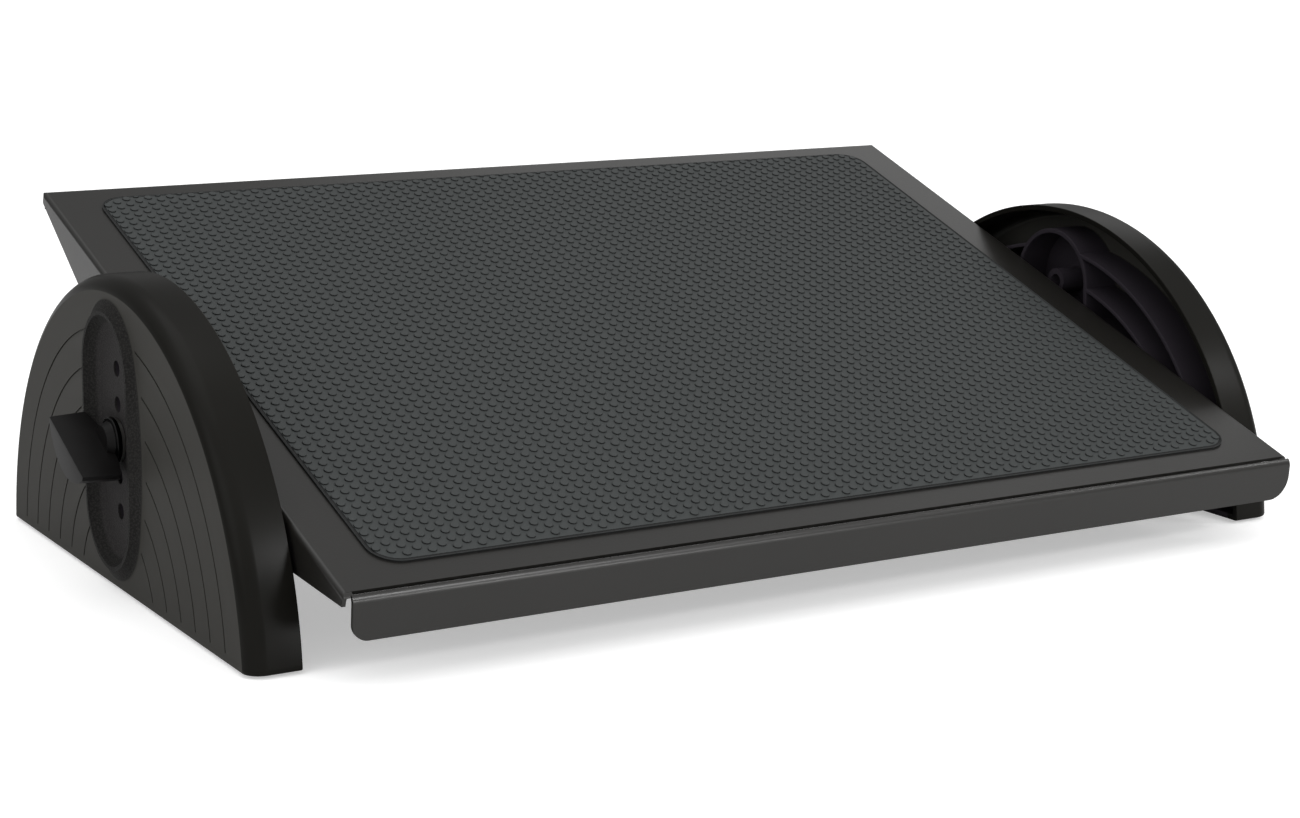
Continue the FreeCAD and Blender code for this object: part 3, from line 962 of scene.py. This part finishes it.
@dataclass
class GripMat:
    """The rubber mat: a thin plate with a bead round it and staggered round studs."""

    half_width: float = 204.9 * MM
    front: float = -151.6 * MM
    back: float = 154.6 * MM
    seat: float = 29.85 * MM
    thickness: float = 1.0 * MM
    corner: float = 12.0 * MM
    bead_width: float = 0.8 * MM
    bead_rise: float = 0.2 * MM
    gutter: float = 0.5 * MM
    stud_radius: float = 1.75 * MM
    stud_height: float = 0.7 * MM
    stud_sides: int = 12
    column_pitch: float = 5.09 * MM
    row_pitch: float = 5.24 * MM
    first_column: float = -201.75 * MM
    first_row: float = -147.26 * MM
    columns: int = 80
    rows: int = 58

    @property
    def field(self) -> float:
        """Height of the plate between the studs."""
        return self.seat + self.thickness - self.bead_rise

    def plate(self) -> Bench:
        """The plate with rounded corners, its bead and the gutter inside it."""
        plate = Bench.block("mat_plate", Vector((-self.half_width, self.front, self.seat)),
                            Vector((self.half_width, self.back, self.field)))
        plate.bevel(self.corner, 14, lambda middle, way: abs(way.z) > 0.9)
        top = self.field - 0.01 * MM
        plate.pick(Pick.FACE, lambda middle, way: way.z > 0.9 and middle.z > top)
        for inward, rise in ((0.2 * MM, self.bead_rise * 0.75), (0.2 * MM, self.bead_rise * 0.25),
                             (self.bead_width - 0.6 * MM, 0.0), (0.2 * MM, -self.bead_rise),
                             (0.1 * MM, -0.2 * MM), (self.gutter, 0.0), (0.1 * MM, 0.2 * MM)):
            bpy.ops.mesh.inset(thickness=inward, depth=rise)
        plate.leave()
        return plate

    def stud(self, name: str, place: Vector) -> Bench:
        """One round stud with a softened top edge, open below.

        Args:
            name: The piece's name.
            place: The middle of its foot.

        Returns:
            The stud.
        """
        Bench.clear()
        bpy.ops.mesh.primitive_circle_add(vertices=self.stud_sides, radius=self.stud_radius, fill_type="NGON",
                                          location=place)
        stud = Bench(bpy.context.active_object, name)
        stud.edit()
        bpy.ops.mesh.select_mode(type="FACE")
        bpy.ops.mesh.select_all(action="SELECT")
        for rise, shrink in ((0.72 * self.stud_height, 0.97), (0.28 * self.stud_height, 0.84)):
            bpy.ops.mesh.extrude_region_move(TRANSFORM_OT_translate={"value": (0.0, 0.0, rise)})
            bpy.ops.transform.resize(value=(shrink, shrink, 1.0), center_override=place)
        stud.leave()
        return stud

    def grid(self, name: str, shift: Point, columns: int, rows: int) -> Bench:
        """One of the two interleaved grids of studs, trimmed inside the gutter.

        Args:
            name: The piece's name.
            shift: Its first stud's place from the lattice's first.
            columns: How many columns it has.
            rows: How many studs there are in a column.

        Returns:
            The grid.
        """
        first = Vector((self.first_column, self.first_row, self.field - 0.02 * MM)) + Vector(shift)
        studs = self.stud(name, first)
        studs.repeat(columns, (2 * self.column_pitch, 0.0, 0.0))
        studs.repeat(rows, (0.0, self.row_pitch, 0.0))
        rim = self.bead_width + self.gutter + 0.3 * MM
        for way, low, high in (((1.0, 0.0, 0.0), -self.half_width, self.half_width),
                               ((0.0, 1.0, 0.0), self.front, self.back)):
            for end, keep_ahead in ((low + rim, True), (high - rim, False)):
                studs.bisect(Vector(way) * end, way, keep_ahead)
        self.clear_corners(studs, self.corner - rim - 0.5 * MM)
        return studs

    def clear_corners(self, studs: Bench, room: float) -> None:
        """Takes away the studs that the mat's rounded corners leave no room for.

        Args:
            studs: A grid.
            room: How far from a corner's centre a stud's middle may be.
        """
        centre_x = self.half_width - self.corner
        ends = (self.front + self.corner, self.back - self.corner)

        def outside(middle: Vector, way: Vector) -> bool:
            """True for a stud's top past a corner's arc."""
            past_x = abs(middle.x) - centre_x
            past_y = max(ends[0] - middle.y, middle.y - ends[1])
            return way.z > 0.9 and past_x > 0 and past_y > 0 and math.hypot(past_x, past_y) > room

        if studs.pick(Pick.FACE, outside):
            bpy.ops.mesh.select_linked()
            bpy.ops.mesh.delete(type="FACE")
        studs.leave()

    def dress(self) -> None:
        """Builds the mat at the rest tilt and puts it on the platform."""
        material = MatRubber().build(self.field, self.stud_height)
        mat = self.plate()
        between = (self.column_pitch, self.row_pitch / 2, 0.0)
        straight = self.grid("mat_studs", (0.0, 0.0, 0.0), (self.columns + 1) // 2, self.rows)
        staggered = self.grid("mat_studs_between", between, self.columns // 2, self.rows)
        for piece, name, angle in ((mat, "studded_mat", 40), (straight, "mat_studs", 35),
                                   (staggered, "mat_studs_between", 35)):
            piece.shade(math.radians(angle))
            piece.move(PIVOT)
            piece.tilt(REST_TILT)
            piece.obj.name = name
            piece.dress(material, "mat_rubber", "platform", "grip_mat")


@dataclass
class ClampKnob:
    """A clamp knob: polished hub, neck, and a wing that is flat above and curved below."""

    hub_base: float = 247.5 * MM
    hub_radius: float = 9.8 * MM
    hub_thickness: float = 2.2 * MM
    neck_base: float = 8.4 * MM
    neck_top: float = 6.6 * MM
    neck_height: float = 3.0 * MM
    root_chord: float = 44.4 * MM
    tip_chord: float = 41.6 * MM
    edge: float = 1.6 * MM
    thickness: float = 11.9 * MM
    flat: float = -0.4 * MM
    root_gap: float = 1.4 * MM
    root_sag: float = 3.4 * MM
    length: float = 18.4 * MM
    edge_round: float = 0.8 * MM
    slope: float = math.radians(24.0)
    bolt_room: float = 5.9 * MM
    smooth: float = math.radians(25.0)

    def wing(self) -> Bench:
        """The wing, shaped level and then turned to its slope."""
        half = self.root_chord / 2
        sag = self.thickness - self.edge
        curve = (half ** 2 + sag ** 2) / (2 * sag)
        root = self.hub_base + self.root_gap
        tip = root + self.length
        top = PIVOT.z + self.flat
        wing = Bench.rod("wing", curve, root - PAST, tip, (PIVOT.y, top - self.thickness + curve), 160)
        wing.bisect((0.0, 0.0, top), (0.0, 0.0, 1.0), keep_ahead=False)
        for sign in (-1, 1):
            wing.bisect((0.0, PIVOT.y + sign * half, 0.0), (0.0, sign * 1.0, 0.0), keep_ahead=False)
        wing.pick(Pick.FACE, lambda middle, way: middle.x > tip - NEAR)
        bpy.ops.transform.resize(value=(1.0, self.tip_chord / self.root_chord, 1.0),
                                 center_override=(tip, PIVOT.y, PIVOT.z))
        wing.leave()
        sweep = (half ** 2 + self.root_sag ** 2) / (2 * self.root_sag)
        Bench.clear()
        bpy.ops.mesh.primitive_cylinder_add(vertices=200, radius=sweep, depth=80 * MM,
                                            location=(root + sweep, PIVOT.y, PIVOT.z))
        wing.combine(Bench(bpy.context.active_object, "root_sweep"), Joinery.KEEP_SHARED)
        wing.bevel(self.edge_round, 4, lambda middle, way: True, crease=40.0)
        wing.tilt(self.slope)
        return wing

    def build(self) -> Bench:
        """The right knob in one mesh."""
        centre = (PIVOT.y, PIVOT.z)
        hub_top = self.hub_base + self.hub_thickness
        knob = Bench.rod("knob", self.hub_radius, self.hub_base, hub_top, centre, 72)
        knob.bevel(0.7 * MM, 5, lambda middle, way: abs(way.x) < 0.1)
        Bench.clear()
        bpy.ops.mesh.primitive_cone_add(vertices=72, radius1=self.neck_base, radius2=self.neck_top,
                                        depth=self.neck_height + 0.4 * MM, rotation=ALONG_X,
                                        location=(hub_top + self.neck_height / 2 - 0.2 * MM, *centre))
        knob.combine(Bench(bpy.context.active_object, "neck"), Joinery.ADD)
        knob.combine(self.wing(), Joinery.ADD)
        knob.combine(Bench.rod("bolt_room", self.bolt_room, self.hub_base - PAST, self.hub_base + 3.9 * MM,
                               centre, 6), Joinery.CUT)
        knob.outward()
        knob.shade(self.smooth)
        return knob

    def dress(self) -> None:
        """Builds both knobs and puts them on their bodies."""
        material = KnobPlastic().build(self.hub_base + self.hub_thickness)
        for side, piece in self.build().both_sides("clamp_knob", self.smooth):
            piece.dress(material, "knob_plastic", f"{side.word}_knob", f"{side.word}_knob_grip")


@dataclass
class Hardware:
    """The frame's own nodes that keep their shape and get a finish."""

    finishes: dict[str, PlainFinish] = field(default_factory=lambda: {
        "foot_pad": PlainFinish("pad_rubber", tone(24, 24, 24), tone(40, 40, 40), 0.75),
        "doubler": PlainFinish("doubler_paint", tone(48, 47, 44), tone(60, 59, 56), 0.45),
        "weld_nut": PlainFinish("nut_zinc", *ZINC, 0.35, 1.0),
        "pivot_spacer": PlainFinish("spacer_nylon", tone(26, 26, 26), tone(40, 40, 40), 0.5),
        "knob_washer": PlainFinish("washer_zinc", *ZINC, 0.3, 1.0),
        "knob_bolt": PlainFinish("bolt_zinc", tone(170, 170, 165), tone(125, 125, 122), 0.28, 1.0),
        "mat_adhesive": PlainFinish("adhesive_foam", tone(30, 30, 30), tone(45, 45, 45), 0.8),
    })

    def dress(self) -> None:
        """Gives each kept node its finish."""
        made = {name: finish.build() for name, finish in self.finishes.items()}
        made["platform_deck"] = PowderCoat().build()
        for node, obj in frame["nodes"].items():
            for ending, material in made.items():
                if node.endswith(ending):
                    obj.data.materials.clear()
                    obj.data.materials.append(material)
                    log.info("%s: %s", node, material.name)


# Studio


@dataclass(frozen=True)
class Softbox:
    """A rectangular lamp that looks at the object."""

    name: str
    place: Point
    size: tuple[float, float]
    watts: float

    def hang(self, target: Vector) -> None:
        """Adds the lamp, turned to the target."""
        data = bpy.data.lights.new(self.name, "AREA")
        data.shape = "RECTANGLE"
        data.size, data.size_y = self.size
        data.energy = self.watts
        lamp = bpy.data.objects.new(self.name, data)
        lamp.location = self.place
        lamp.rotation_euler = (target - Vector(self.place)).to_track_quat("-Z", "Y").to_euler()
        bpy.context.scene.collection.objects.link(lamp)


@dataclass
class Studio:
    """Pale floor, soft light and the camera of the photograph."""

    eye: Point = (-0.5914, -0.9723, 0.2941)
    azimuth: float = math.radians(-31.12)
    elevation: float = math.radians(12.042)
    roll: float = math.radians(0.676)
    lens: float = 72.85
    sensor: float = 36.0
    floor_size: float = 24.0
    floor_tone: Colour = (0.86, 0.86, 0.86, 1.0)
    floor_lift: float = 0.42
    floor_drop: float = 0.00005
    target: Point = (0.0, 0.0, 0.06)
    sky_low: float = 0.25
    sky_high: float = 1.15
    sky_span: tuple[float, float] = (0.05, 1.00)
    bright_way: Point = (-0.30, -0.50, 1.00)
    lamps: tuple[Softbox, ...] = (
        Softbox("overhead", (-0.45, 0.35, 1.7), (1.5, 1.3), 4.0),
        Softbox("left_side", (-1.9, -0.35, 0.8), (1.4, 1.0), 3.5),
        Softbox("back_right", (1.5, 1.5, 1.3), (1.4, 0.9), 2.8),
        Softbox("front_low", (0.55, -1.55, 0.10), (0.45, 0.20), 4.0),
        Softbox("front_high", (0.58, -1.74, 0.95), (0.35, 0.20), 8.5),
        Softbox("right_high", (1.60, -1.02, 1.21), (0.20, 0.30), 3.5),
    )

    def floor(self) -> None:
        """Adds the floor; to the camera it is lifted to white, and it keeps the shadow."""
        Bench.clear()
        bpy.ops.mesh.primitive_plane_add(size=self.floor_size, location=(0.0, 0.0, -self.floor_drop))
        floor = bpy.context.active_object
        floor.name = "studio_floor"
        tree = ShaderTree.of_finish("studio_floor")
        diffuse = tree.output("ShaderNodeBsdfDiffuse", None, {"Color": self.floor_tone})
        seen = tree.output("ShaderNodeLightPath", place="Is Camera Ray")
        glow = tree.output("ShaderNodeEmission", None, {"Color": WHITE, "Strength": seen * self.floor_lift})
        both = tree.output("ShaderNodeAddShader", None, {0: diffuse, 1: glow})
        tree.node("ShaderNodeOutputMaterial", None, {"Surface": both})
        floor.data.materials.append(tree.owner)

    def world(self) -> None:
        """Sets a room that dims towards the back, and that the camera sees as white."""
        world = bpy.data.worlds.new("studio")
        bpy.context.scene.world = world
        tree = ShaderTree(world)
        way = tree.output("ShaderNodeTexCoord", place="Generated")
        lean = tree.output("ShaderNodeVectorMath", {"operation": "DOT_PRODUCT"}, {0: way, 1: self.bright_way},
                           "Value")
        sky = lean.step(*self.sky_span) * (self.sky_high - self.sky_low) + self.sky_low
        room = tree.output("ShaderNodeBackground", None, {"Color": WHITE, "Strength": sky})
        backdrop = tree.output("ShaderNodeBackground", None, {"Color": WHITE, "Strength": 1.0})
        seen = tree.output("ShaderNodeLightPath", place="Is Camera Ray")
        both = tree.output("ShaderNodeMixShader", None, {0: seen, 1: room, 2: backdrop})
        tree.node("ShaderNodeOutputWorld", None, {"Surface": both})

    def camera(self) -> None:
        """Sets the camera where the photograph was taken from."""
        data = bpy.data.cameras.new("camera")
        data.lens = self.lens
        data.sensor_width = self.sensor
        camera = bpy.data.objects.new("camera", data)
        bpy.context.scene.collection.objects.link(camera)
        turn = (Matrix.Rotation(self.azimuth, 4, "Z") @ Matrix.Rotation(math.pi / 2 - self.elevation, 4, "X")
                @ Matrix.Rotation(self.roll, 4, "Z"))
        camera.matrix_world = Matrix.Translation(Vector(self.eye)) @ turn
        bpy.context.scene.camera = camera

    def set_up(self) -> None:
        """Builds the whole studio."""
        self.floor()
        self.world()
        self.camera()
        for lamp in self.lamps:
            lamp.hang(Vector(self.target))
        bpy.context.scene.view_settings.view_transform = "Standard"


def main() -> None:
    """Dresses every sub-assembly in order, then sets the studio."""
    logging.basicConfig(level=logging.INFO, format="%(name)s %(message)s")
    Hardware().dress()
    GripMat().dress()
    ClampKnob().dress()
    Stand().dress()
    Studio().set_up()
    Bench.clear()


if __name__ == "__main__":
    main()
